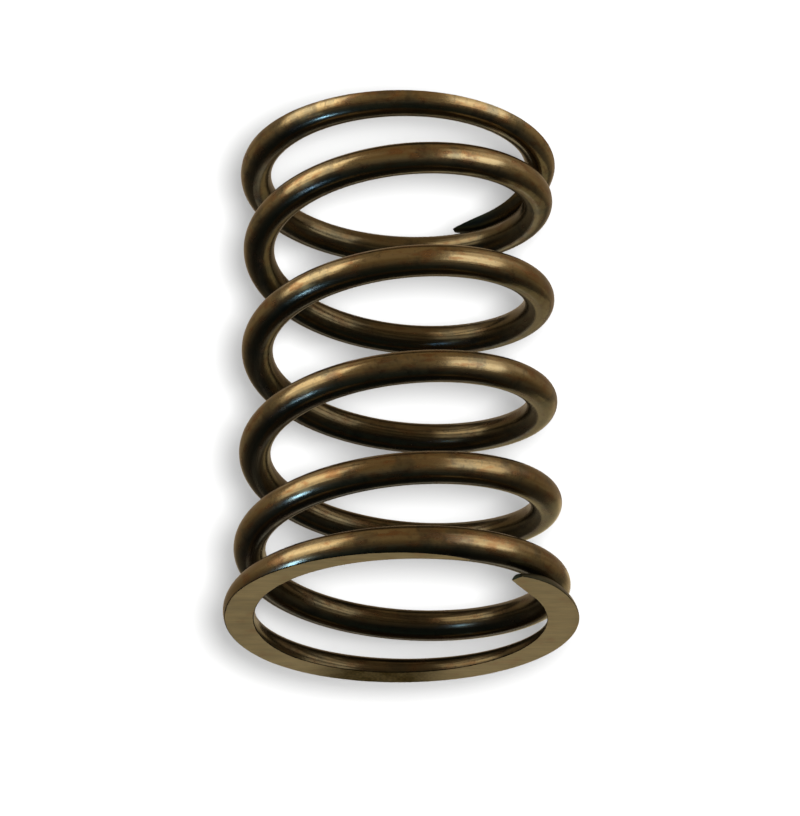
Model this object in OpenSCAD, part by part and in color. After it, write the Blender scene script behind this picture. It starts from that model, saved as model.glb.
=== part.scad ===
// Compression spring of a clutch: one round wire, wound with the right hand, closed and ground at both ends.
// It stands on its lower ground face. The axis of the coil is +Z and the origin is the centre of that face.

/* [Wire] */
// Diameter of the wire
wire_d = 2.5; // [1.6:0.1:3.2]

/* [Coil] */
// Distance between the two ground faces
free_length = 40; // [34:0.5:60]
// Mean diameter of the working turns, from wire centre to wire centre
coil_d = 22.8; // [18:0.1:30]
// Turns of wire from the lower tip to the upper tip
total_turns = 6.31; // [5:0.01:7.5]
// Angle around the axis at which the lower tip lies
tip_angle = -46; // [-180:1:180]

/* [Lower end] */
// Mean diameter of the wide lower end turn
lower_d = 25.3; // [20:0.1:34]
// Turns that keep this diameter and lie almost flat
lower_flat = 0.46; // [0.4:0.02:0.8]
// Turns over which the wire then eases to the diameter and the pitch of the working turns
lower_ease = 3.3; // [1:0.1:3.6]
// Depth that the grinding takes off the wire at the lower tip
lower_grind = 1.55; // [1:0.05:1.8]
// Depth that it takes off further round, where the wheel presses the end turn down and it springs back
pressed_grind = 0.7; // [0.2:0.05:0.8]
// Turns from the lower tip at which the ground flat runs out
run_out = 0.95; // [0.84:0.01:0.98]

/* [Upper end] */
// Mean diameter of the upper end turn
upper_d = 23.5; // [18:0.1:32]
// Turns that keep this diameter and lie almost flat
upper_flat = 0.76; // [0.4:0.02:0.9]
// Turns over which the wire eases from the working turns to the upper end turn
upper_ease = 0.85; // [0.5:0.05:1.4]
// Depth that the grinding takes off the wire at the upper tip
upper_grind = 1.75; // [1:0.05:1.9]

/* [Tips] */
// Diameter left at the very end of the wire
tip_d = 1.3; // [0.8:0.1:1.6]
// Length of wire over which each end narrows to its tip
tip_length = 3.6; // [1:0.1:6]
// Gap between a closed end turn and the turn beside it
turn_gap = 0.15; // [0.1:0.05:0.6]

/* [Smoothness] */
// Flats around the wire
wire_sides = 16; // [12:2:20]
// Cross-sections along one turn
turn_sections = 46; // [36:2:60]

/* [Hidden] */
spring_color = [0.45, 0.36, 0.24];

wire_r = wire_d / 2;
tip_r = tip_d / 2;
// Power of the curve that eases an end turn into the working turns
ease_power = 3;
// Share of the ground flat after which it starts to run out
run_out_start = 0.72;
// Turns that the narrowing takes at each end
lower_tip_turns = tip_length / (PI * lower_d);
upper_tip_turns = tip_length / (PI * upper_d);
// Height of the wire's centre at the two tips
lower_tip_z = wire_r - lower_grind;
upper_tip_z = free_length - wire_r + upper_grind;
// Rise of one closed turn over the turn that it lies on
closed_rise = wire_d + turn_gap;

// Share of the working shape that the wire has, t turns in from a tip: 0 on the flat, 1 on the working turns
function eased(t, flat, ease) = 1 - pow(1 - eased_part(t, flat, ease), ease_power);
function eased_part(t, flat, ease) = min(max((t - flat) / ease, 0), 1);

// The same share added up from the tip to t turns in
function eased_sum(t, flat, ease) =
    let (part = eased_part(t, flat, ease))
    ease * (part - (1 - pow(1 - part, ease_power + 1)) / (ease_power + 1)) + max(t - flat - ease, 0);

// What the closed turn at each end already has of the working pitch
lower_open = eased_sum(lower_tip_turns + 1, lower_flat, lower_ease)
    - eased_sum(lower_tip_turns, lower_flat, lower_ease);
upper_open = eased_sum(upper_tip_turns + 1, upper_flat, upper_ease)
    - eased_sum(upper_tip_turns, upper_flat, upper_ease);

// Turns that count as closed at each end, and as working between them
lower_closed_turns = total_turns - eased_sum(total_turns, lower_flat, lower_ease);
upper_closed_turns = total_turns - eased_sum(total_turns, upper_flat, upper_ease);
working_turns = total_turns - lower_closed_turns - upper_closed_turns;

// Pitch of the working turns, so that the wire spans the free length and both end turns close
pitch = (upper_tip_z - lower_tip_z
        - closed_rise * (lower_closed_turns / (1 - lower_open) + upper_closed_turns / (1 - upper_open)))
    / (working_turns
        - lower_closed_turns * lower_open / (1 - lower_open)
        - upper_closed_turns * upper_open / (1 - upper_open));
lower_pitch = (closed_rise - pitch * lower_open) / (1 - lower_open);
upper_pitch = (closed_rise - pitch * upper_open) / (1 - upper_open);

// Mean radius of the coil at t turns from the lower tip
function turn_radius(t) = coil_d / 2
    + (lower_d - coil_d) / 2 * (1 - eased(t, lower_flat, lower_ease))
    + (upper_d - coil_d) / 2 * (1 - eased(total_turns - t, upper_flat, upper_ease));

// Height of the wire's centre at t turns from the lower tip
function turn_height(t) =
    let (
        from_lower = eased_sum(t, lower_flat, lower_ease),
        from_upper = eased_sum(total_turns, upper_flat, upper_ease)
            - eased_sum(total_turns - t, upper_flat, upper_ease)
    )
    lower_tip_z + lower_pitch * (t - from_lower) + upper_pitch * (t - from_upper)
        + pitch * (from_lower + from_upper - t);

// Pitch of the wire at t turns from the lower tip, in millimetres for one turn
function turn_pitch(t) =
    let (
        lower_share = eased(t, lower_flat, lower_ease),
        upper_share = eased(total_turns - t, upper_flat, upper_ease)
    )
    lower_pitch * (1 - lower_share) + upper_pitch * (1 - upper_share) + pitch * (lower_share + upper_share - 1);

// Radius of the wire, which narrows along a round nose towards both tips
function wire_radius(t) =
    let (nose = min(t / lower_tip_turns, (total_turns - t) / upper_tip_turns, 1))
    tip_r + (wire_r - tip_r) * (1 - pow(1 - max(nose, 0), 2));

// Distance from the wire's centre down to the flat that is left where the lower end turn has sprung back
function flat_depth(t) =
    let (run = max((t / run_out - run_out_start) / (1 - run_out_start), 0))
    wire_r - pressed_grind * (1 - run);

// One ring of points around the wire, square to its path
function wire_ring(t) =
    let (
        angle = tip_angle + 360 * t,
        radius = turn_radius(t),
        lead = atan(turn_pitch(t) / (2 * PI * radius)),
        outward = [cos(angle), sin(angle), 0],
        upward = [sin(lead) * sin(angle), -sin(lead) * cos(angle), cos(lead)],
        centre = radius * outward + [0, 0, turn_height(t)]
    )
    [for (side = [0 : wire_sides - 1])
        let (
            a = 360 * (side + 0.5) / wire_sides,
            across = wire_radius(t) * cos(a),
            up = max(wire_radius(t) * sin(a), -flat_depth(t))
        )
        centre + across * outward + up * upward];

// The round wire along its whole path, before grinding
module wound_wire() {
    sections = ceil(total_turns * turn_sections);
    points = [for (i = [0 : sections]) each wire_ring(total_turns * i / sections)];
    start_cap = [for (side = [1 : wire_sides - 2]) [0, side + 1, side]];
    last = sections * wire_sides;
    end_cap = [for (side = [1 : wire_sides - 2]) [last, last + side, last + side + 1]];
    skin = [for (i = [0 : sections - 1], side = [0 : wire_sides - 1])
        let (
            here = i * wire_sides,
            next = here + wire_sides,
            beside = (side + 1) % wire_sides
        )
        each [[here + side, next + beside, next + side], [here + side, here + beside, next + beside]]];
    polyhedron(points = points, faces = concat(start_cap, skin, end_cap));
}

// Everything that the grinding wheel removes below a face at height 0
module ground_off() {
    reach = max(lower_d, upper_d, coil_d) + 4 * wire_d;
    depth = 2 * wire_d;
    translate([-reach / 2, -reach / 2, -depth]) cube([reach, reach, depth]);
}

module clutch_spring() {
    color(spring_color)
    difference() {
        wound_wire();
        ground_off();
        translate([0, 0, free_length]) mirror([0, 0, 1]) ground_off();
    }
}

clutch_spring();
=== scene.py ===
"""Looks of a clutch spring: one round steel wire, wound with the right hand, closed and ground at both ends.

The spring stands on its wide lower end with its axis along +Z, in metres, as its solid in the frame does.
The wire is wound by a geometry node tree from the spring's own sizes, and it carries two finishes: the dark,
tempered skin of drawn wire, and the bare metal of the two ground faces.
"""
import logging
import math
from dataclasses import dataclass, field
from enum import Enum

import bpy
from mathutils import Euler, Matrix, Vector


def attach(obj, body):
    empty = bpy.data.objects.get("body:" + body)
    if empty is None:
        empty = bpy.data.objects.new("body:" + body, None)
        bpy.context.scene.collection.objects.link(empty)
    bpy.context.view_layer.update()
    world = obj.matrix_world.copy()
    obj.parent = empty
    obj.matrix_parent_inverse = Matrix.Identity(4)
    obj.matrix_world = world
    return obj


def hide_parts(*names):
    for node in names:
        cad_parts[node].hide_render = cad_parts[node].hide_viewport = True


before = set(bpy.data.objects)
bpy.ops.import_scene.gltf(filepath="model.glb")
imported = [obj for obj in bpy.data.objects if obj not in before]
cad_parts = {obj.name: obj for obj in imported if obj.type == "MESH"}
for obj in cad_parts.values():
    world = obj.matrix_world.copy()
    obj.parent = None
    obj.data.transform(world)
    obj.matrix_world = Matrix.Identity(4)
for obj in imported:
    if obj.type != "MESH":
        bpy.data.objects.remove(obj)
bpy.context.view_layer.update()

LOG = logging.getLogger("clutch_spring")
MILLIMETRE = 0.001
FULL_TURN = 2 * math.pi
Color = tuple[float, float, float]
WHITE: Color = (1.0, 1.0, 1.0)
BLACK: Color = (0.0, 0.0, 0.0)


class Term:
    """A number or a vector inside a node tree. Ordinary arithmetic on it adds Math nodes to the tree."""

    def __init__(self, tree: bpy.types.NodeTree, socket: bpy.types.NodeSocket) -> None:
        """Wraps one output socket.

        Args:
            tree: The node tree that the socket belongs to.
            socket: The output that gives the value.
        """
        self.tree = tree
        self.socket = socket

    def math(self, operation: str, *others: "Term | float") -> "Term":
        """Adds one Math node with this term as its first value.

        Args:
            operation: Name of the operation, as the Math node spells it.
            *others: The node's further values.

        Returns:
            The result as a term.
        """
        node = self.tree.nodes.new("ShaderNodeMath")
        node.operation = operation
        for place, value in enumerate((self, *others)):
            feed(self.tree, value, node.inputs[place])
        return Term(self.tree, node.outputs[0])

    def __add__(self, other: "Term | float") -> "Term":
        """Sum."""
        return self.math("ADD", other)

    def __sub__(self, other: "Term | float") -> "Term":
        """Difference."""
        return self.math("SUBTRACT", other)

    def __mul__(self, other: "Term | float") -> "Term":
        """Product."""
        return self.math("MULTIPLY", other)

    def __truediv__(self, other: "Term | float") -> "Term":
        """Quotient."""
        return self.math("DIVIDE", other)

    def __pow__(self, other: "Term | float") -> "Term":
        """Power."""
        return self.math("POWER", other)

    def __rsub__(self, other: float) -> "Term":
        """A plain number less this term."""
        return (self * -1.0) + other

    __radd__ = __add__

    def least(self, other: "Term | float") -> "Term":
        """The smaller of two values."""
        return self.math("MINIMUM", other)

    def most(self, other: "Term | float") -> "Term":
        """The larger of two values."""
        return self.math("MAXIMUM", other)

    def share(self) -> "Term":
        """The value held between 0 and 1."""
        return self.most(0.0).least(1.0)

    def above(self, other: "Term | float") -> "Term":
        """1 where this value is greater than the other, else 0."""
        return self.math("GREATER_THAN", other)

    def rise(self, low: float, high: float) -> "Term":
        """Goes smoothly from 0 where this value is low to 1 where it is high."""
        node = add_node(
            self.tree, "ShaderNodeMapRange", {"interpolation_type": "SMOOTHSTEP"}, Value=self, From_Min=low,
            From_Max=high)
        return Term(self.tree, node.outputs[0])

    def choose(self, if_zero: "Term | float", if_one: "Term | float") -> "Term":
        """Goes from one value to another as this term goes from 0 to 1.

        Args:
            if_zero: The value where this term is 0.
            if_one: The value where this term is 1.

        Returns:
            The value in between.
        """
        return self * if_one + (1.0 - self) * if_zero


def feed(tree: bpy.types.NodeTree, value: object, socket: bpy.types.NodeSocket) -> None:
    """Gives a socket its value, as a link or as a plain number.

    Args:
        tree: The node tree.
        value: A term, an output socket, or a plain value.
        socket: The input that takes it.
    """
    if isinstance(value, Term):
        tree.links.new(value.socket, socket)
    elif isinstance(value, bpy.types.NodeSocket):
        tree.links.new(value, socket)
    else:
        socket.default_value = value


def add_node(
    tree: bpy.types.NodeTree, kind: str, settings: dict[str, object] | None = None, **inputs: object,
) -> bpy.types.Node:
    """Adds a node, sets its properties and feeds its inputs.

    Args:
        tree: The node tree.
        kind: The node's type name.
        settings: Properties of the node itself.
        **inputs: Values by socket name, with an underscore for each space.

    Returns:
        The new node.
    """
    node = tree.nodes.new(kind)
    for name, value in (settings or {}).items():
        setattr(node, name, value)
    for name, value in inputs.items():
        feed(tree, value, node.inputs[name.replace("_", " ")])
    return node


@dataclass(frozen=True)
class Grain:
    """A noise pattern in a finish: its scale, its octaves, and how far it is drawn out along the wire."""

    scale: float
    detail: float
    stretch: float = 1.0

    def at(self, tree: bpy.types.NodeTree, place: bpy.types.NodeSocket) -> Term:
        """Adds the pattern's noise texture.

        Args:
            tree: The node tree.
            place: Where the noise is read.

        Returns:
            The noise, mostly between 0.3 and 0.7.
        """
        node = add_node(tree, "ShaderNodeTexNoise", Vector=place, Scale=self.scale, Detail=self.detail)
        return Term(tree, node.outputs[0])


@dataclass(frozen=True)
class Reach:
    """Two values between which something sets in, and how strong it is then."""

    low: float
    high: float
    strength: float = 1.0

    def over(self, value: Term) -> Term:
        """Full strength where the value is high, nothing where it is low."""
        return value.rise(self.low, self.high) * self.strength

    def under(self, value: Term) -> Term:
        """Full strength where the value is low, nothing where it is high."""
        return (1.0 - value.rise(self.low, self.high)) * self.strength


@dataclass(frozen=True)
class Relief:
    """The fine relief of a finish: how strongly it turns the light, and its height in metres."""

    strength: float
    height: float

    def emboss(self, tree: bpy.types.NodeTree, shader: bpy.types.Node, pattern: Term) -> None:
        """Gives the relief to a shader.

        Args:
            tree: The node tree.
            shader: The shader.
            pattern: The pattern that stands out.
        """
        bump = add_node(
            tree, "ShaderNodeBump", Strength=self.strength, Distance=self.height, Height=pattern)
        feed(tree, bump.outputs[0], shader.inputs["Normal"])


def blend(
    tree: bpy.types.NodeTree, share: Term, first: Color | bpy.types.NodeSocket,
    second: Color | bpy.types.NodeSocket,
) -> bpy.types.NodeSocket:
    """Goes from one colour to another.

    Args:
        tree: The node tree.
        share: 0 for the first colour, 1 for the second.
        first: A colour, or the output that gives one.
        second: A colour, or the output that gives one.

    Returns:
        The mixed colour.
    """
    node = tree.nodes.new("ShaderNodeMix")
    node.data_type = "RGBA"
    feed(tree, share, node.inputs[0])
    # A Mix node has its two colours at inputs 6 and 7, and their mixture at output 2.
    for value, place in ((first, 6), (second, 7)):
        feed(tree, (*value, 1) if isinstance(value, tuple) else value, node.inputs[place])
    return node.outputs[2]


@dataclass(frozen=True)
class EndTurn:
    """Sizes of one closed and ground end of the spring, in millimetres and turns."""

    diameter: float
    flat: float
    ease: float
    grind: float


@dataclass(frozen=True)
class SpringSizes:
    """Sizes of the spring in millimetres, turns and degrees, the same as those of its solid.

    The coil's and the ends' diameters are measured between the wire's middles.
    """

    wire: float = 2.5
    free_length: float = 40.0
    coil: float = 22.8
    turns: float = 6.31
    tip_angle: float = -46.0
    lower: EndTurn = EndTurn(diameter=25.3, flat=0.46, ease=3.3, grind=1.55)
    upper: EndTurn = EndTurn(diameter=23.5, flat=0.76, ease=0.85, grind=1.75)
    pressed_grind: float = 0.7
    run_out: float = 0.95
    run_out_start: float = 0.72
    tip: float = 1.3
    tip_length: float = 3.6
    turn_gap: float = 0.15
    ease_power: int = 3

    def tip_turns(self, end: EndTurn) -> float:
        """Turns over which an end narrows to its tip."""
        return self.tip_length / (math.pi * end.diameter)

    def eased_sum(self, turn: float, end: EndTurn) -> float:
        """Adds up the working shape's share of the wire from a tip inwards.

        Args:
            turn: Turns in from the tip.
            end: The end that the tip belongs to.

        Returns:
            The share added up, in turns.
        """
        part = min(max((turn - end.flat) / end.ease, 0.0), 1.0)
        power = self.ease_power + 1
        return end.ease * (part - (1 - (1 - part) ** power) / power) + max(turn - end.flat - end.ease, 0.0)

    def pitches(self) -> tuple[float, float, float]:
        """Rise of the wire in one turn, so that it spans the free length and both end turns close.

        Returns:
            The pitch of the working turns, of the lower end turn and of the upper end turn.
        """
        # In the first whole turn from a tip the wire climbs by `rise`, in part at the working pitch.
        rise = self.wire + self.turn_gap
        opened, closed = [], []
        for end in (self.lower, self.upper):
            start = self.tip_turns(end)
            opened.append(self.eased_sum(start + 1, end) - self.eased_sum(start, end))
            closed.append(self.turns - self.eased_sum(self.turns, end))
        ends = list(zip(closed, opened))
        span = self.tip_height(self.upper) - self.tip_height(self.lower)
        span -= sum(rise * shut / (1 - loose) for shut, loose in ends)
        turns = self.turns - sum(closed) - sum(shut * loose / (1 - loose) for shut, loose in ends)
        working = span / turns
        lower, upper = ((rise - working * loose) / (1 - loose) for loose in opened)
        return working, lower, upper

    def tip_height(self, end: EndTurn) -> float:
        """Height of the wire's centre at an end's tip."""
        radius = self.wire / 2
        return radius - end.grind if end is self.lower else self.free_length - radius + end.grind


@dataclass
class WoundWire:
    """The whole spring as one mesh, wound and dressed by a geometry node tree.

    The edge width and the merging distance are in millimetres, the crisp angle in degrees.
    """

    sizes: SpringSizes = field(default_factory=SpringSizes)
    sections_per_turn: int = 120
    tip_sections: int = 22
    sides: int = 72
    face_share: float = 1 / 3
    edge_width: float = 0.05
    edge_wander: float = 0.6
    edge_at_most: float = 0.25
    wander_rate: tuple[float, float] = (190.0, 20.0)
    wander_detail: float = 3.0
    nose_power: float = 2.0
    spread_over: float = 0.4
    tip_rows_over: float = 1.5
    crisp_angle: float = 28.0
    merge_within: float = 0.001
    all_ground: float = 0.99
    name: str = "wound_wire"

    def numbers(self) -> dict[str, float]:
        """Lists the sizes that the winding needs, in metres, turns and radians.

        Returns:
            The tree's inputs by name.
        """
        s = self.sizes
        working, lower, upper = s.pitches()
        made = {
            "Wire radius": s.wire / 2 * MILLIMETRE,
            "Tip radius": s.tip / 2 * MILLIMETRE,
            "Free length": s.free_length * MILLIMETRE,
            "Coil radius": s.coil / 2 * MILLIMETRE,
            "Turns": s.turns,
            "Tip angle": math.radians(s.tip_angle),
            "Working pitch": working * MILLIMETRE,
            "Pressed grind": s.pressed_grind * MILLIMETRE,
            "Run-out turns": s.run_out,
            "Run-out start": s.run_out_start,
            "Edge width": self.edge_width * MILLIMETRE,
            "Edge wander": self.edge_wander,
        }
        for side, end, pitch in (("Lower", s.lower, lower), ("Upper", s.upper, upper)):
            made[f"{side} widening"] = (end.diameter - s.coil) / 2 * MILLIMETRE
            made[f"{side} flat turns"] = end.flat
            made[f"{side} ease turns"] = end.ease
            made[f"{side} pitch"] = pitch * MILLIMETRE
            made[f"{side} tip height"] = s.tip_height(end) * MILLIMETRE
            made[f"{side} tip turns"] = s.tip_turns(end)
            made[f"{side} eased sum"] = s.eased_sum(s.turns, end)
        return made

    def build(self, skin: bpy.types.Material, ground: bpy.types.Material) -> bpy.types.Object:
        """Winds the wire and turns the result into a plain mesh.

        Args:
            skin: The finish of the drawn wire.
            ground: The finish of the two ground faces.

        Returns:
            The finished piece.
        """
        tree = bpy.data.node_groups.new("Wind the spring", "GeometryNodeTree")
        values = self.numbers()
        finishes = {"Skin": skin, "Ground": ground}
        sockets = {}
        tree.interface.new_socket("Geometry", in_out="INPUT", socket_type="NodeSocketGeometry")
        for name, value in values.items():
            socket = tree.interface.new_socket(name, in_out="INPUT", socket_type="NodeSocketFloat")
            socket.default_value = value
            sockets[name] = socket.identifier
        for name in finishes:
            socket = tree.interface.new_socket(name, in_out="INPUT", socket_type="NodeSocketMaterial")
            sockets[name] = socket.identifier
        tree.interface.new_socket("Geometry", in_out="OUTPUT", socket_type="NodeSocketGeometry")
        self.wind(tree)
        holder = bpy.data.objects.new("winding", bpy.data.meshes.new("winding"))
        bpy.context.scene.collection.objects.link(holder)
        modifier = holder.modifiers.new("Winding", "NODES")
        modifier.node_group = tree
        for name, value in (values | finishes).items():
            modifier[sockets[name]] = value
        graph = bpy.context.evaluated_depsgraph_get()
        mesh = bpy.data.meshes.new_from_object(holder.evaluated_get(graph), depsgraph=graph)
        bpy.data.objects.remove(holder)
        # The grid brings an empty first slot.
        mesh.materials.pop(index=0)
        mesh.name = self.name
        piece = bpy.data.objects.new(self.name, mesh)
        bpy.context.scene.collection.objects.link(piece)
        LOG.info("%s: %d points, %d faces", self.name, len(mesh.vertices), len(mesh.polygons))
        return piece

    def wind(self, tree: bpy.types.NodeTree) -> None:
        """Fills the tree: a grid of rows along the wire and columns around it, bent into the coil.

        Args:
            tree: The empty tree, with its inputs declared.
        """
        given = tree.nodes.new("NodeGroupInput")
        value = {s.name: Term(tree, s) for s in given.outputs if s.type == "VALUE"}
        main_rows = math.ceil(self.sizes.turns * self.sections_per_turn)
        # There is one row more than there are steps, and one more at each end that closes the wire.
        rows = main_rows + 2 * self.tip_sections + 1 + 2
        grid = add_node(
            tree, "GeometryNodeMeshGrid", Size_X=1.0, Size_Y=1.0, Vertices_X=rows, Vertices_Y=self.sides + 1)
        on_grid = tree.nodes.new("GeometryNodeInputPosition").outputs[0]
        place = add_node(tree, "ShaderNodeSeparateXYZ", Vector=on_grid)
        row = ((Term(tree, place.outputs["X"]) + 0.5) * (rows - 1.0)).math("ROUND")
        column = ((Term(tree, place.outputs["Y"]) + 0.5) * float(self.sides)).math("ROUND")

        turn = self.turn_at(row, main_rows, value)
        path = self.path_at(turn, value)
        closed_end = (1.0 - row.least(1.0)) + row.above(rows - 1.5)
        across, up, on_ground = self.section_at(turn, column, closed_end, path, value)
        out = path["radius"] + across
        lean = up * path["lead"].math("SINE")
        sine, cosine = path["angle"].math("SINE"), path["angle"].math("COSINE")
        point = add_node(
            tree, "ShaderNodeCombineXYZ",
            X=out * cosine + lean * sine,
            Y=out * sine - lean * cosine,
            Z=path["height"] + up * path["lead"].math("COSINE"))
        along = turn * value["Coil radius"] * FULL_TURN
        unwound = add_node(tree, "ShaderNodeCombineXYZ", X=along, Y=across, Z=up)

        # Everything above reads the flat grid, so its results are stored before the points move.
        stored = add_node(
            tree, "GeometryNodeStoreNamedAttribute", {"data_type": "FLOAT_VECTOR", "domain": "POINT"},
            Geometry=grid.outputs["Mesh"], Name="unwound", Value=unwound.outputs[0])
        marked = add_node(
            tree, "GeometryNodeStoreNamedAttribute", {"data_type": "FLOAT", "domain": "POINT"},
            Geometry=stored.outputs[0], Name="ground", Value=on_ground)
        moved = add_node(
            tree, "GeometryNodeSetPosition", Geometry=marked.outputs[0], Position=point.outputs[0])
        mapped = add_node(
            tree, "GeometryNodeStoreNamedAttribute", {"data_type": "FLOAT2", "domain": "CORNER"},
            Geometry=moved.outputs[0], Name="unwound_map", Value=grid.outputs["UV Map"])
        joined = add_node(
            tree, "GeometryNodeMergeByDistance", Geometry=mapped.outputs[0],
            Distance=self.merge_within * MILLIMETRE)
        result = tree.nodes.new("NodeGroupOutput")
        tree.links.new(self.dress(tree, given, joined.outputs[0]), result.inputs[0])

    def dress(
        self, tree: bpy.types.NodeTree, given: bpy.types.Node, wire: bpy.types.NodeSocket,
    ) -> bpy.types.NodeSocket:
        """Shades the wire smooth up to its sharp edges, and gives it its two finishes.

        Args:
            tree: The node tree.
            given: The node that holds the tree's inputs.
            wire: The wound wire.

        Returns:
            The dressed wire.
        """
        smooth = add_node(tree, "GeometryNodeSetShadeSmooth", {"domain": "FACE"}, Geometry=wire)
        edge_turn = Term(tree, tree.nodes.new("GeometryNodeInputMeshEdgeAngle").outputs["Unsigned Angle"])
        crisp = add_node(
            tree, "GeometryNodeSetShadeSmooth", {"domain": "EDGE"}, Geometry=smooth.outputs[0],
            Selection=edge_turn.above(math.radians(self.crisp_angle)), Shade_Smooth=False)
        real = add_node(tree, "GeometryNodeRealizeInstances", Geometry=crisp.outputs[0])
        dressed = add_node(
            tree, "GeometryNodeSetMaterial", Geometry=real.outputs[0], Material=given.outputs["Skin"])
        # A face's mark is the mean of its corners' marks, so it is 1 only where all of them are ground.
        mark = add_node(tree, "GeometryNodeInputNamedAttribute", {"data_type": "FLOAT"}, Name="ground")
        on_ground = Term(tree, mark.outputs["Attribute"]).above(self.all_ground)
        faced = add_node(
            tree, "GeometryNodeSetMaterial", Geometry=dressed.outputs[0], Selection=on_ground,
            Material=given.outputs["Ground"])
        return faced.outputs[0]

    def turn_at(self, row: Term, main_rows: int, value: dict[str, Term]) -> Term:
        """Turns from the lower tip at a row, with the rows closer together along the two tips.

        Args:
            row: The row's number.
            main_rows: Rows between the two tips.
            value: The tree's inputs.

        Returns:
            The number of turns.
        """
        fine = float(self.tip_sections)
        low, high = (value[f"{side} tip turns"] * self.tip_rows_over for side in ("Lower", "Upper"))
        first = ((row - 1.0) / fine).share() * low
        middle = ((row - 1.0 - fine) / float(main_rows)).share() * (value["Turns"] - low - high)
        last = ((row - 1.0 - fine - main_rows) / fine).share() * high
        return first + middle + last

    def path_at(self, turn: Term, value: dict[str, Term]) -> dict[str, Term]:
        """The wire's centre line at some turn.

        Args:
            turn: Turns from the lower tip.
            value: The tree's inputs.

        Returns:
            The radius and angle around the axis, the height, and the angle of the wire to the ground.
        """
        back = value["Turns"] - turn
        # Both ends add the working pitch where they don't close, so it is taken off once.
        radius, slope = value["Coil radius"], value["Working pitch"] * -1.0
        sums = []
        for side, inward in (("Lower", turn), ("Upper", back)):
            flat, ease = value[f"{side} flat turns"], value[f"{side} ease turns"]
            left = 1.0 - ((inward - flat) / ease).share()
            closed = left ** float(self.sizes.ease_power)
            radius = radius + value[f"{side} widening"] * closed
            slope = slope + value[f"{side} pitch"] * closed + value["Working pitch"] * (1.0 - closed)
            whole = (1.0 - left ** (self.sizes.ease_power + 1.0)) / (self.sizes.ease_power + 1.0)
            sums.append(ease * ((1.0 - left) - whole) + (inward - flat - ease).most(0.0))
        from_lower, from_upper = sums[0], value["Upper eased sum"] - sums[1]
        height = (
            value["Lower tip height"]
            + value["Lower pitch"] * (turn - from_lower)
            + value["Upper pitch"] * (turn - from_upper)
            + value["Working pitch"] * (from_lower + from_upper - turn))
        angle = turn * FULL_TURN + value["Tip angle"]
        lead = slope.math("ARCTAN2", radius * FULL_TURN)
        return {"radius": radius, "angle": angle, "height": height, "lead": lead}

    def section_at(
        self, turn: Term, column: Term, closed_end: Term, path: dict[str, Term], value: dict[str, Term],
    ) -> tuple[Term, Term, Term]:
        """A point of the wire's section, round where the wire is whole and flat where it is ground.

        A third of the columns make the ground face. Where there is no face they spread round the wire. The
        lower flat goes on under the wire where the end turn was pressed to the wheel and has sprung back.

        Args:
            turn: Turns from the lower tip.
            column: The column's number around the wire.
            closed_end: 1 on the two rows that close the wire's ends, else 0.
            path: The centre line at that turn.
            value: The tree's inputs.

        Returns:
            The point's place outwards from the wire's middle and upwards, and 1 where it is ground, else 0.
        """
        tree = turn.tree
        from_lower = turn / value["Lower tip turns"]
        from_upper = (value["Turns"] - turn) / value["Upper tip turns"]
        nose = from_lower.least(from_upper).share()
        narrowing = value["Wire radius"] - value["Tip radius"]
        wire = value["Tip radius"] + narrowing * (1.0 - (1.0 - nose) ** self.nose_power)
        upper_half = (turn / value["Turns"]).above(0.5)
        facing = upper_half * 2.0 - 1.0
        along_flat = turn / value["Run-out turns"]
        run = ((along_flat - value["Run-out start"]) / (1.0 - value["Run-out start"])).most(0.0)
        sprung_back = value["Wire radius"] - value["Pressed grind"] * (1.0 - run)
        to_wheel = path["height"] / path["lead"].math("COSINE")
        to_upper_face = (value["Free length"] - path["height"]) / path["lead"].math("COSINE")
        to_face = upper_half.choose(to_wheel.least(sprung_back), to_upper_face)
        ratio = to_face / wire
        cut_angle = ratio.most(-1.0).least(1.0).math("ARCCOSINE")
        half_width = wire * cut_angle.math("SINE")
        spread = ((ratio - 1.0) / self.spread_over).share()

        face_angle = math.pi * self.face_share
        step = FULL_TURN / self.sides
        around = column * step - math.pi
        turned = (around - facing * (math.pi / 2)).math("WRAP", math.pi, -math.pi)
        side, distance = turned.math("SIGN"), turned.math("ABSOLUTE")
        by_turn, by_side = self.wander_rate
        seen_at = add_node(tree, "ShaderNodeCombineXYZ", X=turn * by_turn, Y=side * by_side)
        wander = Term(tree, add_node(
            tree, "ShaderNodeTexNoise", {"noise_dimensions": "2D"}, Scale=1.0, Detail=self.wander_detail,
            Vector=seen_at.outputs[0]).outputs[0])
        edge = value["Edge width"] * (1.0 + (wander - 0.5) * 2.0 * value["Edge wander"])
        edge = edge.least(half_width * self.edge_at_most)

        on_face = 1.0 - (distance / face_angle).above(1.0 + step / 4)
        along_face = (distance / face_angle).share()
        open_angle = cut_angle + spread * face_angle
        start = open_angle + spread.choose(edge / wire, step)
        along_round = ((distance - face_angle - step) / (math.pi - face_angle - step)).share()
        round_angle = start + along_round * (math.pi - start)
        is_cut = 1.0 - ratio.above(1.0)
        face_across = is_cut.choose(
            wire * (open_angle * along_face).math("SINE"), (half_width - edge) * along_face)
        face_up = is_cut.choose(wire * (open_angle * along_face).math("COSINE"), to_face)
        across = on_face.choose(wire * round_angle.math("SINE"), face_across)
        up = on_face.choose(wire * round_angle.math("COSINE"), face_up)

        centre_up = is_cut.choose(0.0, (to_face - wire) / 2.0)
        kept = 1.0 - closed_end
        on_ground = on_face * is_cut * kept
        return across * side * facing * -1.0 * kept, (up * kept + centre_up * closed_end) * facing, on_ground


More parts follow.
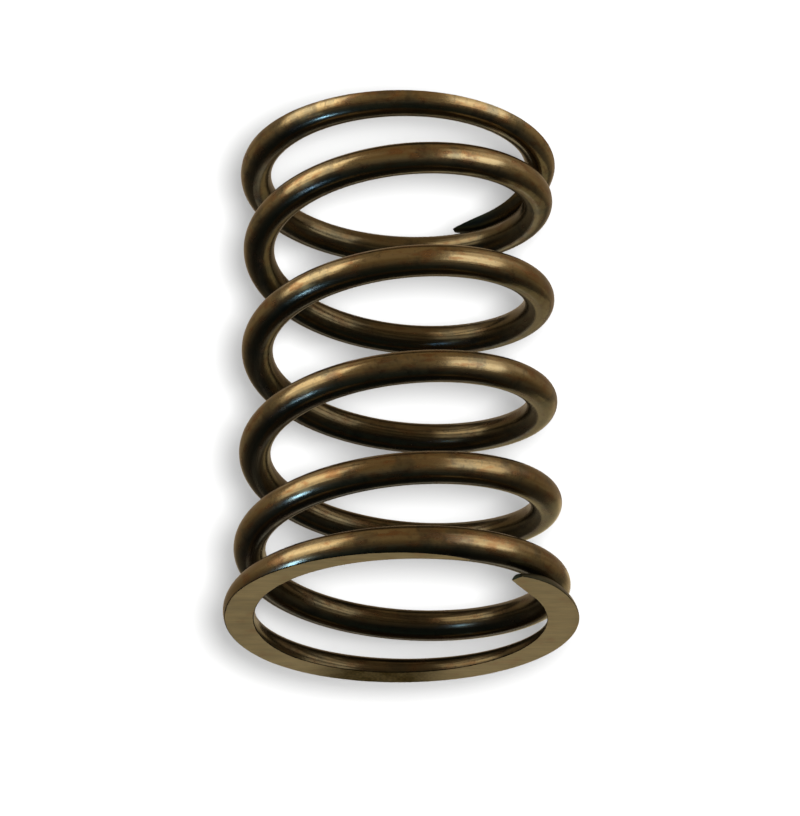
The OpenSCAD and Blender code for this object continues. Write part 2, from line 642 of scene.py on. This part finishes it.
@dataclass(frozen=True)
class TemperedSkin:
    """The dark bronze skin of drawn and tempered spring wire.

    Reaches across and up the wire's section are in millimetres, and lengths along the wire in metres.
    """

    name: str = "tempered_wire"
    burnished: Color = (0.215, 0.160, 0.080)
    bronze: Color = (0.160, 0.108, 0.047)
    rust: Color = (0.150, 0.070, 0.025)
    blued: Color = (0.030, 0.042, 0.036)
    pitted: Color = (0.050, 0.032, 0.016)
    # The next two colours are painted shade: the bore side, the underside and the two tips are blended
    # towards them.
    shade_teal: Color = (0.014, 0.026, 0.021)
    shade_brown: Color = (0.026, 0.022, 0.012)
    rim: Color = (0.76, 0.74, 0.70)

    streak_grain: Grain = Grain(2200.0, 4.0, stretch=22.0)
    line_grain: Grain = Grain(9000.0, 2.0, stretch=60.0)
    mottle_grain: Grain = Grain(1900.0, 5.0, stretch=2.5)
    patch_grain: Grain = Grain(420.0, 5.0)
    speck_grain: Grain = Grain(5200.0, 2.0)
    pit_grain: Grain = Grain(2300.0, 3.0)

    bronze_streaks: Reach = Reach(0.38, 0.66)
    rusty_mottle: Reach = Reach(0.48, 0.66, 0.75)
    blued_patches: Reach = Reach(0.50, 0.66, 0.40)
    blued_specks: Reach = Reach(0.60, 0.72, 0.30)
    pits: Reach = Reach(0.53, 0.64)
    pitted_patches: Reach = Reach(0.40, 0.56, 0.36)

    # Painted shade: where the bore side and the underside are darkened, and by how much.
    bore_side: Reach = Reach(-0.75, 0.25)
    outer_underside: Reach = Reach(-1.15, -0.6, 0.50)
    inner_shade: float = 0.58
    inner_lower_half: Reach = Reach(-0.3, 0.0, 0.18)
    inner_underside: Reach = Reach(-1.0, -0.65, 0.36)
    shade_brown_above: Reach = Reach(-0.95, -0.5)

    wire_length: float = 0.4520
    # Painted light: the skin is painted brighter towards the upper end, and more so on the last turn.
    brighter_from: float = 0.45
    brighter_by: float = 0.35
    last_turn_from: float = 0.84
    last_turn_by: float = 1.6
    # Painted shade: the skin near both tips is painted darker, for the shadowed gap under the next turn.
    tip_shade_reach: Reach = Reach(0.0027, 0.009, 0.85)

    metallic: float = 0.95
    smoothest: float = 0.13
    rough_mottle: Reach = Reach(0.5, 0.75, 0.10)
    streak_roughness: float = 0.10
    line_roughness: float = 0.04
    tip_roughness: float = 0.15
    relief: Relief = Relief(0.35, 0.00003)
    line_relief: float = 0.5
    streak_relief: float = 0.35
    mottle_relief: float = 0.6
    speck_relief: float = 0.25

    def material(self) -> bpy.types.Material:
        """Makes the finish.

        Streaks run along the wire, with blued and pitted patches. The bore side and the underside are
        painted darker as shade, the upper turns are painted brighter as light, and both tips are painted
        darker as the shade of the gap beside each one.

        Returns:
            The material.
        """
        made = bpy.data.materials.new(self.name)
        made.use_nodes = True
        tree = made.node_tree
        shader = tree.nodes["Principled BSDF"]
        unwound = add_node(tree, "ShaderNodeAttribute", {"attribute_name": "unwound"}).outputs["Vector"]
        place = add_node(tree, "ShaderNodeSeparateXYZ", Vector=unwound)
        along, across, up = (Term(tree, place.outputs[axis]) for axis in "XYZ")
        here = tree.nodes.new("ShaderNodeTexCoord").outputs["Object"]

        def drawn(grain: Grain) -> Term:
            """A pattern that is drawn out along the wire."""
            stretched = add_node(tree, "ShaderNodeCombineXYZ", X=along / grain.stretch, Y=across, Z=up)
            return grain.at(tree, stretched.outputs[0])

        streaks, lines, mottle = (
            drawn(grain) for grain in (self.streak_grain, self.line_grain, self.mottle_grain))
        patches, specks = self.patch_grain.at(tree, here), self.speck_grain.at(tree, here)
        pits = self.pits.over(self.pit_grain.at(tree, here)) * self.pitted_patches.over(patches)

        color = blend(tree, self.bronze_streaks.over(streaks), self.burnished, self.bronze)
        color = blend(tree, self.rusty_mottle.over(mottle), color, self.rust)
        dark = self.blued_patches.over(patches) + self.blued_specks.over(specks)
        color = blend(tree, dark.share(), color, self.blued)
        color = blend(tree, pits, color, self.pitted)

        # Painted shade: the bore side and the outer underside are blended towards a dark shade colour, which
        # is teal low down and brown higher up the bore side. The bore side is darkened most just below its
        # middle.
        inside = self.bore_side.under(across / MILLIMETRE)
        lifted = up / MILLIMETRE
        outer = self.outer_underside.under(lifted)
        inner = self.inner_lower_half.under(lifted) - self.inner_underside.under(lifted) + self.inner_shade
        shade_color = blend(tree, inside * self.shade_brown_above.over(lifted), self.shade_teal, self.shade_brown)
        color = blend(tree, inside.choose(outer, inner).share(), color, shade_color)

        # Painted light: the base colour is scaled up towards the upper end, and more on the last turn,
        # standing in for more light reaching the upper turns.
        done = along / self.wire_length
        painted_light_gain = (done - self.brighter_from).most(0.0) * self.brighter_by + 1.0
        painted_light_gain = painted_light_gain + (done - self.last_turn_from).most(0.0) * self.last_turn_by
        color = add_node(
            tree, "ShaderNodeVectorMath", {"operation": "SCALE"}, Vector=color, Scale=painted_light_gain).outputs[0]
        # Painted shade at both tips: the skin goes towards the dark shade colour near each tip, for the
        # shadowed gap between the tip and the next turn. The tips are also rougher.
        tip_shade = self.tip_shade_reach.under(along.least(self.wire_length - along))
        color = blend(tree, tip_shade, color, self.shade_teal)
        feed(tree, color, shader.inputs["Base Color"])

        shader.inputs["Metallic"].default_value = self.metallic
        shader.inputs["Specular Tint"].default_value = (*self.rim, 1)
        rough = streaks * self.streak_roughness + lines * self.line_roughness + self.smoothest
        rough = rough + self.rough_mottle.over(mottle) + tip_shade * self.tip_roughness
        feed(tree, rough, shader.inputs["Roughness"])
        pattern = lines * self.line_relief + streaks * self.streak_relief
        pattern = pattern + mottle * self.mottle_relief + specks * self.speck_relief
        self.relief.emboss(tree, shader, pattern)
        return made


@dataclass(frozen=True)
class GroundMetal:
    """The bare metal of a face that the grinding wheel has left. Places are in metres."""

    name: str = "ground_face"
    bare: Color = (0.530, 0.372, 0.128)
    olive: Color = (0.405, 0.290, 0.100)
    stain: Color = (0.470, 0.240, 0.074)
    dark_patch: Color = (0.070, 0.054, 0.032)
    dark_patch_sheen: Color = (0.58, 0.51, 0.38)
    dark_patch_place: tuple[float, float, float] = (-0.0016, 0.0127, 0.0)
    dark_patch_reach: Reach = Reach(0.00216, 0.0072)
    dark_patch_cover: float = 0.65

    marks_turned: float = 24.0
    marks_stretch: tuple[float, float, float] = (0.06, 1.0, 1.0)
    mark_grain: Grain = Grain(11000.0, 3.0)
    band_grain: Grain = Grain(1500.0, 3.0)
    cloud_grain: Grain = Grain(600.0, 4.0)
    speck_grain: Grain = Grain(4200.0, 2.0)

    olive_bands: Reach = Reach(0.35, 0.68, 0.6)
    olive_marks: Reach = Reach(0.4, 0.6, 0.4)
    stained_clouds: Reach = Reach(0.54, 0.72, 0.45)
    stained_specks: Reach = Reach(0.62, 0.74, 0.25)
    dark_patch_specks: Reach = Reach(0.35, 0.6, 0.25)
    dark_patch_clouds: Reach = Reach(0.35, 0.65, 0.15)

    smoothest: float = 0.30
    mark_roughness: float = 0.16
    cloud_roughness: float = 0.08
    relief: Relief = Relief(0.3, 0.00002)
    band_relief: float = 0.4

    def material(self) -> bpy.types.Material:
        """Makes the finish: a satin tan with fine grinding marks, faint stains and a dark patch at the back.

        Returns:
            The material.
        """
        made = bpy.data.materials.new(self.name)
        made.use_nodes = True
        tree = made.node_tree
        shader = tree.nodes["Principled BSDF"]
        here = tree.nodes.new("ShaderNodeTexCoord").outputs["Object"]
        ground = add_node(
            tree, "ShaderNodeMapping", Vector=here, Rotation=(0.0, 0.0, math.radians(self.marks_turned)),
            Scale=self.marks_stretch).outputs[0]
        marks, bands = self.mark_grain.at(tree, ground), self.band_grain.at(tree, ground)
        cloud, specks = self.cloud_grain.at(tree, here), self.speck_grain.at(tree, here)

        darker = (self.olive_bands.over(bands) + self.olive_marks.over(marks)).share()
        color = blend(tree, darker, self.bare, self.olive)
        stained = self.stained_clouds.over(cloud) + self.stained_specks.over(specks)
        color = blend(tree, stained, color, self.stain)
        # A darker patch at the back of the lower face, with a darker edge tint on its reflection.
        away = add_node(tree, "ShaderNodeVectorMath", {"operation": "DISTANCE"}, Vector=here)
        away.inputs[1].default_value = self.dark_patch_place
        near = self.dark_patch_reach.under(Term(tree, away.outputs["Value"]))
        patch = near * (self.dark_patch_specks.over(specks) + self.dark_patch_clouds.over(cloud) + self.dark_patch_cover)
        color = blend(tree, patch, color, self.dark_patch)
        feed(tree, color, shader.inputs["Base Color"])
        feed(tree, blend(tree, patch, WHITE, self.dark_patch_sheen), shader.inputs["Specular Tint"])

        shader.inputs["Metallic"].default_value = 1.0
        rough = marks * self.mark_roughness + cloud * self.cloud_roughness + self.smoothest
        feed(tree, rough, shader.inputs["Roughness"])
        self.relief.emboss(tree, shader, marks + bands * self.band_relief)
        return made


class StagePlane(Enum):
    """The planes of the stage."""

    FLOOR = "floor"
    BACKDROP = "backdrop"


def direction(azimuth: float, elevation: float) -> Vector:
    """The direction at so many degrees round from the front, towards the right, and above the horizon."""
    turn, rise = math.radians(azimuth), math.radians(elevation)
    return Vector((math.sin(turn) * math.cos(rise), -math.cos(turn) * math.cos(rise), math.sin(rise)))


@dataclass(frozen=True)
class Softbox:
    """A soft lamp with a rectangular face that shines at the middle of the spring.

    Its place is given in degrees round from the front and above the horizon, its sizes in metres.
    """

    name: str
    azimuth: float
    elevation: float
    width: float
    height: float
    radiance: float
    color: Color = WHITE
    distance: float = 0.5

    def build(self, target: Vector) -> None:
        """Hangs the lamp.

        Args:
            target: The point that it shines at.
        """
        data = bpy.data.lights.new(self.name, "AREA")
        data.shape, data.size, data.size_y = "RECTANGLE", self.width, self.height
        data.energy = self.radiance * math.pi * self.width * self.height
        data.color = self.color
        lamp = bpy.data.objects.new(self.name, data)
        away = direction(self.azimuth, self.elevation)
        lamp.location = target + away * self.distance
        lamp.rotation_mode = "QUATERNION"
        lamp.rotation_quaternion = (-away).to_track_quat("-Z", "Y")
        lamp.visible_camera = False
        bpy.context.scene.collection.objects.link(lamp)


@dataclass
class Studio:
    """The camera, the pale floor and backdrop, and the soft light, in metres and degrees.

    The stage's own glow and its lamps' share of it add up to a little over white.
    """

    image_width: int = 800
    image_height: int = 816
    focal_pixels: float = 3075.95
    distance: float = 0.246546
    below: float = 25.106
    roll: float = -0.004
    sensor: float = 36.0
    clip: tuple[float, float] = (0.01, 20.0)
    pivot: tuple[float, float, float] = (0.0, 0.0, 0.020)
    pivot_pixel: tuple[float, float] = (398.93, 388.34)
    backdrop_distance: float = 0.166
    backdrop_reach: float = 0.09
    floor_reach: float = 1.0
    lamp_offset: tuple[float, float] = (0.0030, 0.0016)
    lamp_radius: float = 0.0044
    softboxes: tuple[Softbox, ...] = (
        Softbox("left_softbox", azimuth=-60, elevation=19, width=0.43, height=0.54, radiance=1.75,
                color=(1.0, 0.97, 0.91)),
        Softbox("left_core", azimuth=-60.5, elevation=24, width=0.39, height=0.26, radiance=1.8,
                color=(1.0, 0.97, 0.91)),
        Softbox("left_top", azimuth=-76, elevation=56, width=0.24, height=0.18, radiance=0.55),
        Softbox("left_overhead", azimuth=-140, elevation=56, width=0.24, height=0.20, radiance=0.40),
        Softbox("right_overhead", azimuth=84, elevation=50, width=0.20, height=0.20, radiance=0.40),
        Softbox("right_rim", azimuth=95, elevation=26, width=0.14, height=0.26, radiance=0.45),
        Softbox("right_softbox", azimuth=59, elevation=11, width=0.40, height=0.62, radiance=1.4),
        Softbox("right_core", azimuth=58, elevation=3, width=0.38, height=0.30, radiance=1.7,
                color=(0.92, 1.0, 1.12)),
        Softbox("right_behind", azimuth=155.5, elevation=-8, width=0.040, height=0.034, radiance=0.52,
                color=(1.0, 0.85, 0.50), distance=0.0565),
        Softbox("cool_strip", azimuth=-63, elevation=-21, width=0.08, height=0.24, radiance=1.0,
                color=(0.65, 0.85, 1.0)),
        Softbox("cool_glint", azimuth=-63.4, elevation=-40.3, width=0.008, height=0.008, radiance=30.0,
                color=(0.18, 0.42, 1.0), distance=0.0587),
    )
    floor_height: float = -0.0003
    glow: float = 0.32
    lamp_share: float = 0.78
    stage_tone: float = 0.05
    sun_azimuth: float = 35.0
    sun_elevation: float = 58.0
    sun_softness: float = 22.0

    def sight(self, distance: float) -> Matrix:
        """A place on the line of sight through the middle of the spring.

        Args:
            distance: How far it is from the middle of the spring towards the camera, in metres.

        Returns:
            The place, turned so that X and Y are right and up in the photo and Z comes towards the camera.
        """
        down = math.radians(self.below)
        back = Vector((0, -math.cos(down), -math.sin(down)))
        up = Vector((0, -math.sin(down), math.cos(down)))
        right = Vector((1, 0, 0))
        turned_right = right * math.cos(self.roll) + up * math.sin(self.roll)
        turned_up = up * math.cos(self.roll) - right * math.sin(self.roll)
        turned = Matrix((turned_right, turned_up, back)).transposed().to_4x4()
        return Matrix.Translation(Vector(self.pivot) + back * distance) @ turned

    def camera(self) -> None:
        """Puts the camera at the photo's viewing angle."""
        data = bpy.data.cameras.new("camera")
        data.sensor_width = self.sensor
        data.lens = self.focal_pixels * data.sensor_width / max(self.image_width, self.image_height)
        data.clip_start, data.clip_end = self.clip
        across = (self.pivot_pixel[0] - self.image_width / 2) / self.focal_pixels
        above = (self.image_height / 2 - self.pivot_pixel[1]) / self.focal_pixels
        aim = Euler((-math.atan(above), math.atan(across), 0)).to_matrix().to_4x4()
        camera = bpy.data.objects.new("camera", data)
        camera.matrix_world = self.sight(self.distance) @ aim
        bpy.context.scene.collection.objects.link(camera)
        bpy.context.scene.camera = camera

    def plane(self, which: StagePlane, reach: float, place: Matrix) -> bpy.types.Object:
        """Makes one white plane of the stage, which only the camera sees, and only from its front.

        It glows below white. A lamp of its own adds the rest, and the spring's shadow takes that away.

        Args:
            which: Which plane it is.
            reach: How far it goes from its middle, in metres.
            place: Where it lies, facing along its Z.

        Returns:
            The plane.
        """
        mesh = bpy.data.meshes.new(which.value)
        corners = [place @ Vector((x * reach, y * reach, 0)) for x, y in ((-1, -1), (1, -1), (1, 1), (-1, 1))]
        mesh.from_pydata(corners, [], [(0, 1, 2, 3)])
        made = bpy.data.materials.new(which.value)
        made.use_nodes = True
        tree = made.node_tree
        tree.nodes.remove(tree.nodes["Principled BSDF"])
        glow = add_node(tree, "ShaderNodeEmission", Strength=self.glow)
        tone = (self.stage_tone, self.stage_tone, self.stage_tone, 1)
        matt = add_node(tree, "ShaderNodeBsdfDiffuse", Color=tone)
        both = tree.nodes.new("ShaderNodeAddShader")
        tree.links.new(glow.outputs[0], both.inputs[0])
        tree.links.new(matt.outputs[0], both.inputs[1])
        mix = tree.nodes.new("ShaderNodeMixShader")
        tree.links.new(tree.nodes.new("ShaderNodeNewGeometry").outputs["Backfacing"], mix.inputs[0])
        tree.links.new(both.outputs[0], mix.inputs[1])
        tree.links.new(tree.nodes.new("ShaderNodeBsdfTransparent").outputs[0], mix.inputs[2])
        tree.links.new(mix.outputs[0], tree.nodes["Material Output"].inputs["Surface"])
        mesh.materials.append(made)
        stage = bpy.data.objects.new(which.value, mesh)
        stage.visible_diffuse = stage.visible_glossy = False
        stage.visible_transmission = stage.visible_shadow = False
        bpy.context.scene.collection.objects.link(stage)
        return stage

    def shine(self, stage: bpy.types.Object, data: bpy.types.Light, place: Matrix) -> None:
        """Adds a lamp that shines on one plane of the stage alone, and casts the spring's soft shadow there.

        Args:
            stage: The plane.
            data: The lamp.
            place: Where it hangs, shining against its Z.
        """
        lamp = bpy.data.objects.new(data.name, data)
        lamp.matrix_world = place
        lamp.visible_camera = False
        lit = bpy.data.collections.new(f"{stage.name}_lit")
        lit.objects.link(stage)
        lamp.light_linking.receiver_collection = lit
        bpy.context.scene.collection.objects.link(lamp)

    def stage(self) -> None:
        """Makes the floor under the spring and the backdrop behind it, square to the line of sight."""
        on_ground = Matrix.Translation((0, 0, self.floor_height))
        floor = self.plane(StagePlane.FLOOR, self.floor_reach, on_ground)
        backdrop = self.plane(StagePlane.BACKDROP, self.backdrop_reach, self.sight(-self.backdrop_distance))
        full = self.lamp_share * math.pi / self.stage_tone
        away = direction(self.sun_azimuth, self.sun_elevation)
        sun = bpy.data.lights.new("floor_sun", "SUN")
        sun.energy, sun.angle = full / away.z, math.radians(self.sun_softness)
        self.shine(floor, sun, away.to_track_quat("Z", "Y").to_matrix().to_4x4())
        disc = bpy.data.lights.new("backdrop_lamp", "AREA")
        disc.shape, disc.size = "DISK", 2 * self.lamp_radius
        disc.energy = full * math.pi * (self.distance + self.backdrop_distance) ** 2
        self.shine(backdrop, disc, self.sight(self.distance) @ Matrix.Translation((*self.lamp_offset, 0)))

    def light(self) -> None:
        """Hangs the softboxes around the spring."""
        for softbox in self.softboxes:
            softbox.build(Vector(self.pivot))


@dataclass(frozen=True)
class Room:
    """The room that the metal mirrors, dim and warm around the spring and dark below it.

    Its colours and reaches are given by the parts of a direction: to the right, away from the camera and up.
    """

    colors: tuple[tuple[float, Color], ...] = (
        (-1.00, (0.016, 0.034, 0.040)),
        (-0.81, (0.024, 0.040, 0.046)),
        (-0.67, (0.064, 0.072, 0.078)),
        (-0.51, (0.155, 0.142, 0.128)),
        (-0.33, (0.280, 0.245, 0.195)),
        (0.07, (0.425, 0.350, 0.230)),
        (0.48, (0.480, 0.375, 0.265)),
        (0.95, (0.440, 0.335, 0.205)),
    )
    tilt: float = 0.14
    dimmed_depth: Reach = Reach(-0.2, 0.4, 0.5)
    dimmed_height: Reach = Reach(0.05, 0.2)
    side_width: Reach = Reach(0.45, 0.75)
    side_height: Reach = Reach(-0.25, 0.1)
    white_depth: Reach = Reach(0.5, 0.7)
    white_width: Reach = Reach(0.12, 0.24)
    white_bottom: Reach = Reach(-0.54, -0.46)
    white_top: Reach = Reach(-0.36, -0.24)

    def build(self) -> None:
        """Makes the world.

        The camera sees white all around, and the metal sees the same white in the room's low part behind the
        spring. Behind the spring the room is dimmer, but not high up or to the sides.
        """
        world = bpy.data.worlds.new("studio")
        world.use_nodes = True
        bpy.context.scene.world = world
        tree = world.node_tree
        place = tree.nodes.new("ShaderNodeTexCoord").outputs["Generated"]
        parts = add_node(tree, "ShaderNodeSeparateXYZ", Vector=place)
        right, depth, height = (Term(tree, parts.outputs[axis]) for axis in "XYZ")
        sideways = right.math("ABSOLUTE")
        # Levels go from -1 to 1, and the ramp from 0 to 1, with two stops to begin with.
        ramp = tree.nodes.new("ShaderNodeValToRGB")
        feed(tree, (height + right * self.tilt) * 0.5 + 0.5, ramp.inputs[0])
        stops = ramp.color_ramp.elements
        for index, (level, color) in enumerate(self.colors):
            at = level / 2 + 0.5
            stop = stops[index] if index < 2 else stops.new(at)
            stop.position, stop.color = at, (*color, 1)
        beside = self.side_width.over(sideways) * self.side_height.over(height)
        dimmed = self.dimmed_depth.over(depth) * self.dimmed_height.under(height) * (1.0 - beside)
        room = blend(tree, dimmed, ramp.outputs["Color"], BLACK)
        low = self.white_bottom.over(height) * self.white_top.under(height)
        behind = self.white_depth.over(depth) * self.white_width.under(sideways) * low
        rays = tree.nodes.new("ShaderNodeLightPath")
        by_camera, by_gloss, through = (
            Term(tree, rays.outputs[f"Is {kind} Ray"]) for kind in ("Camera", "Glossy", "Transmission"))
        seen = (by_camera + (by_gloss + through).share() * behind).share()
        feed(tree, blend(tree, seen, room, WHITE), tree.nodes["Background"].inputs["Color"])


def main() -> None:
    """Sets the stage, the light and the camera, then builds the spring and dresses it."""
    logging.basicConfig(level=logging.INFO)
    studio = Studio()
    studio.camera()
    studio.stage()
    studio.light()
    Room().build()
    spring = WoundWire().build(TemperedSkin().material(), GroundMetal().material())
    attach(spring, "root")
    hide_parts("clutch_spring")
    bpy.context.scene.view_settings.view_transform = "Standard"


if __name__ == "__main__":
    main()
